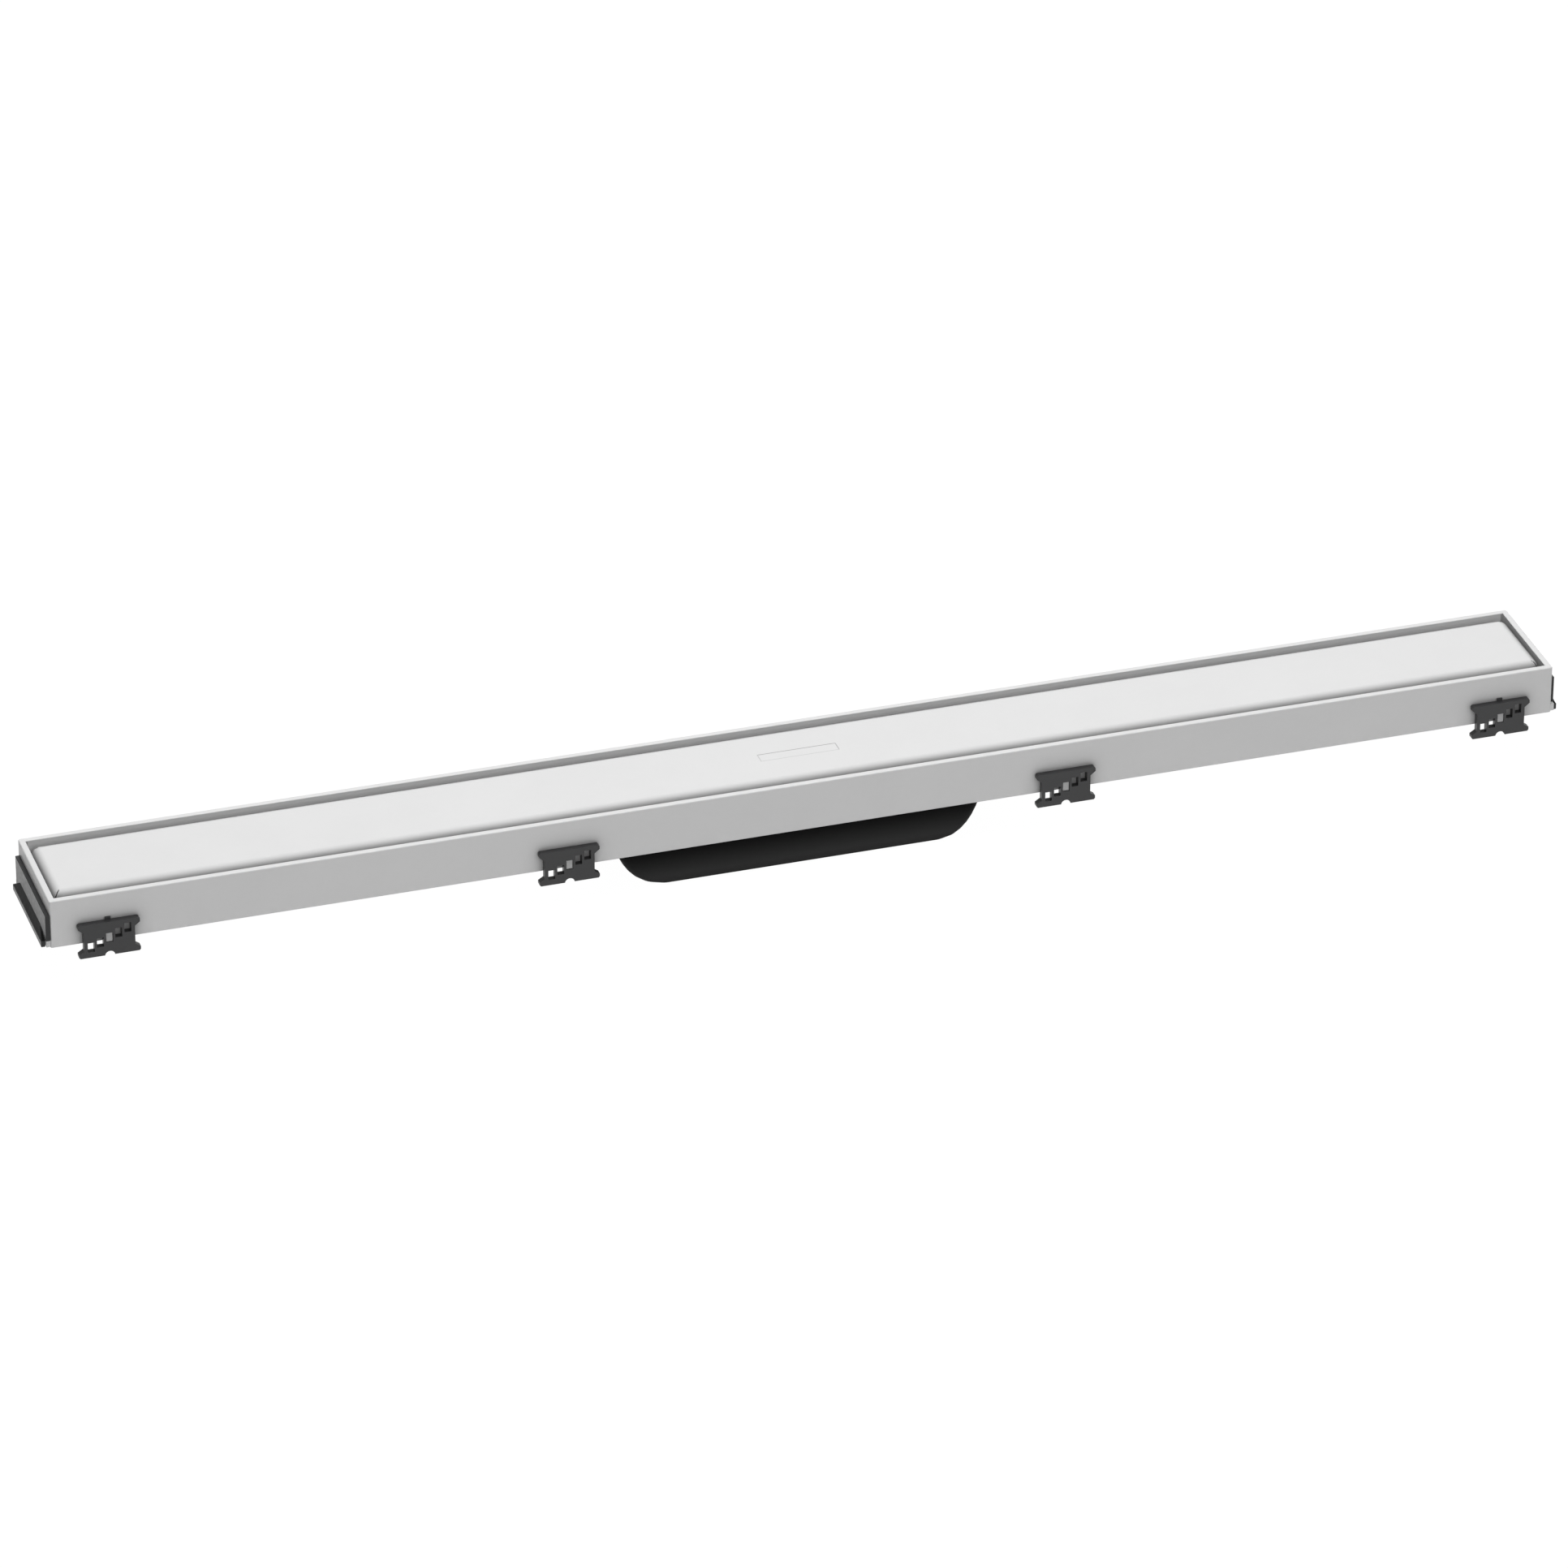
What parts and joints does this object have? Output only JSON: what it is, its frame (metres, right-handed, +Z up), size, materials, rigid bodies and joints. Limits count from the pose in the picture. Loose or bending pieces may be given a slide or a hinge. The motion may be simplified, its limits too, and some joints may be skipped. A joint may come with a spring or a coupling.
{
  "type": "channel drain",
  "caption": "Long white floor drain channel with a rounded cover plate, black side and end clips, and a black outlet tub with a trap below.",
  "frame": {"origin": "middle of the box round the drain in plan, level with the underside of the outlet tub", "axes": "+X along the channel, +Z up out of the floor, -Y towards the side that the picture shows"},
  "size_m": [1.2126, 0.1084, 0.0748],
  "materials": {
    "white_coat": "satin",
    "clip_black": "fine grain",
    "tub_black": "matt",
    "stainless": "brushed",
    "rubber": "matt"
  },
  "bodies": {
    "root": {"bridge_pad_1": "rubber", "bridge_pad_2": "rubber", "bridge_pad_3": "rubber", "bridge_pad_4": "rubber", "clamping_ring": "stainless", "clamping_screws": "stainless", "cover_bridge_1": "stainless", "cover_bridge_2": "stainless", "cover_bridge_3": "stainless", "cover_bridge_4": "stainless", "cover_plate": "white_coat", "end_clip_left": "clip_black", "end_clip_right": "clip_black", "frame": "white_coat", "gutter_tray": "stainless", "hair_strainer": "stainless", "outlet_tub": "tub_black", "side_clip_back_1": "clip_black", "side_clip_back_2": "clip_black", "side_clip_back_3": "clip_black", "side_clip_back_4": "clip_black", "side_clip_front_1": "clip_black", "side_clip_front_2": "clip_black", "side_clip_front_3": "clip_black", "side_clip_front_4": "clip_black", "trap_bell": "tub_black", "tub_gasket": "rubber"}
  },
  "joints": []
}
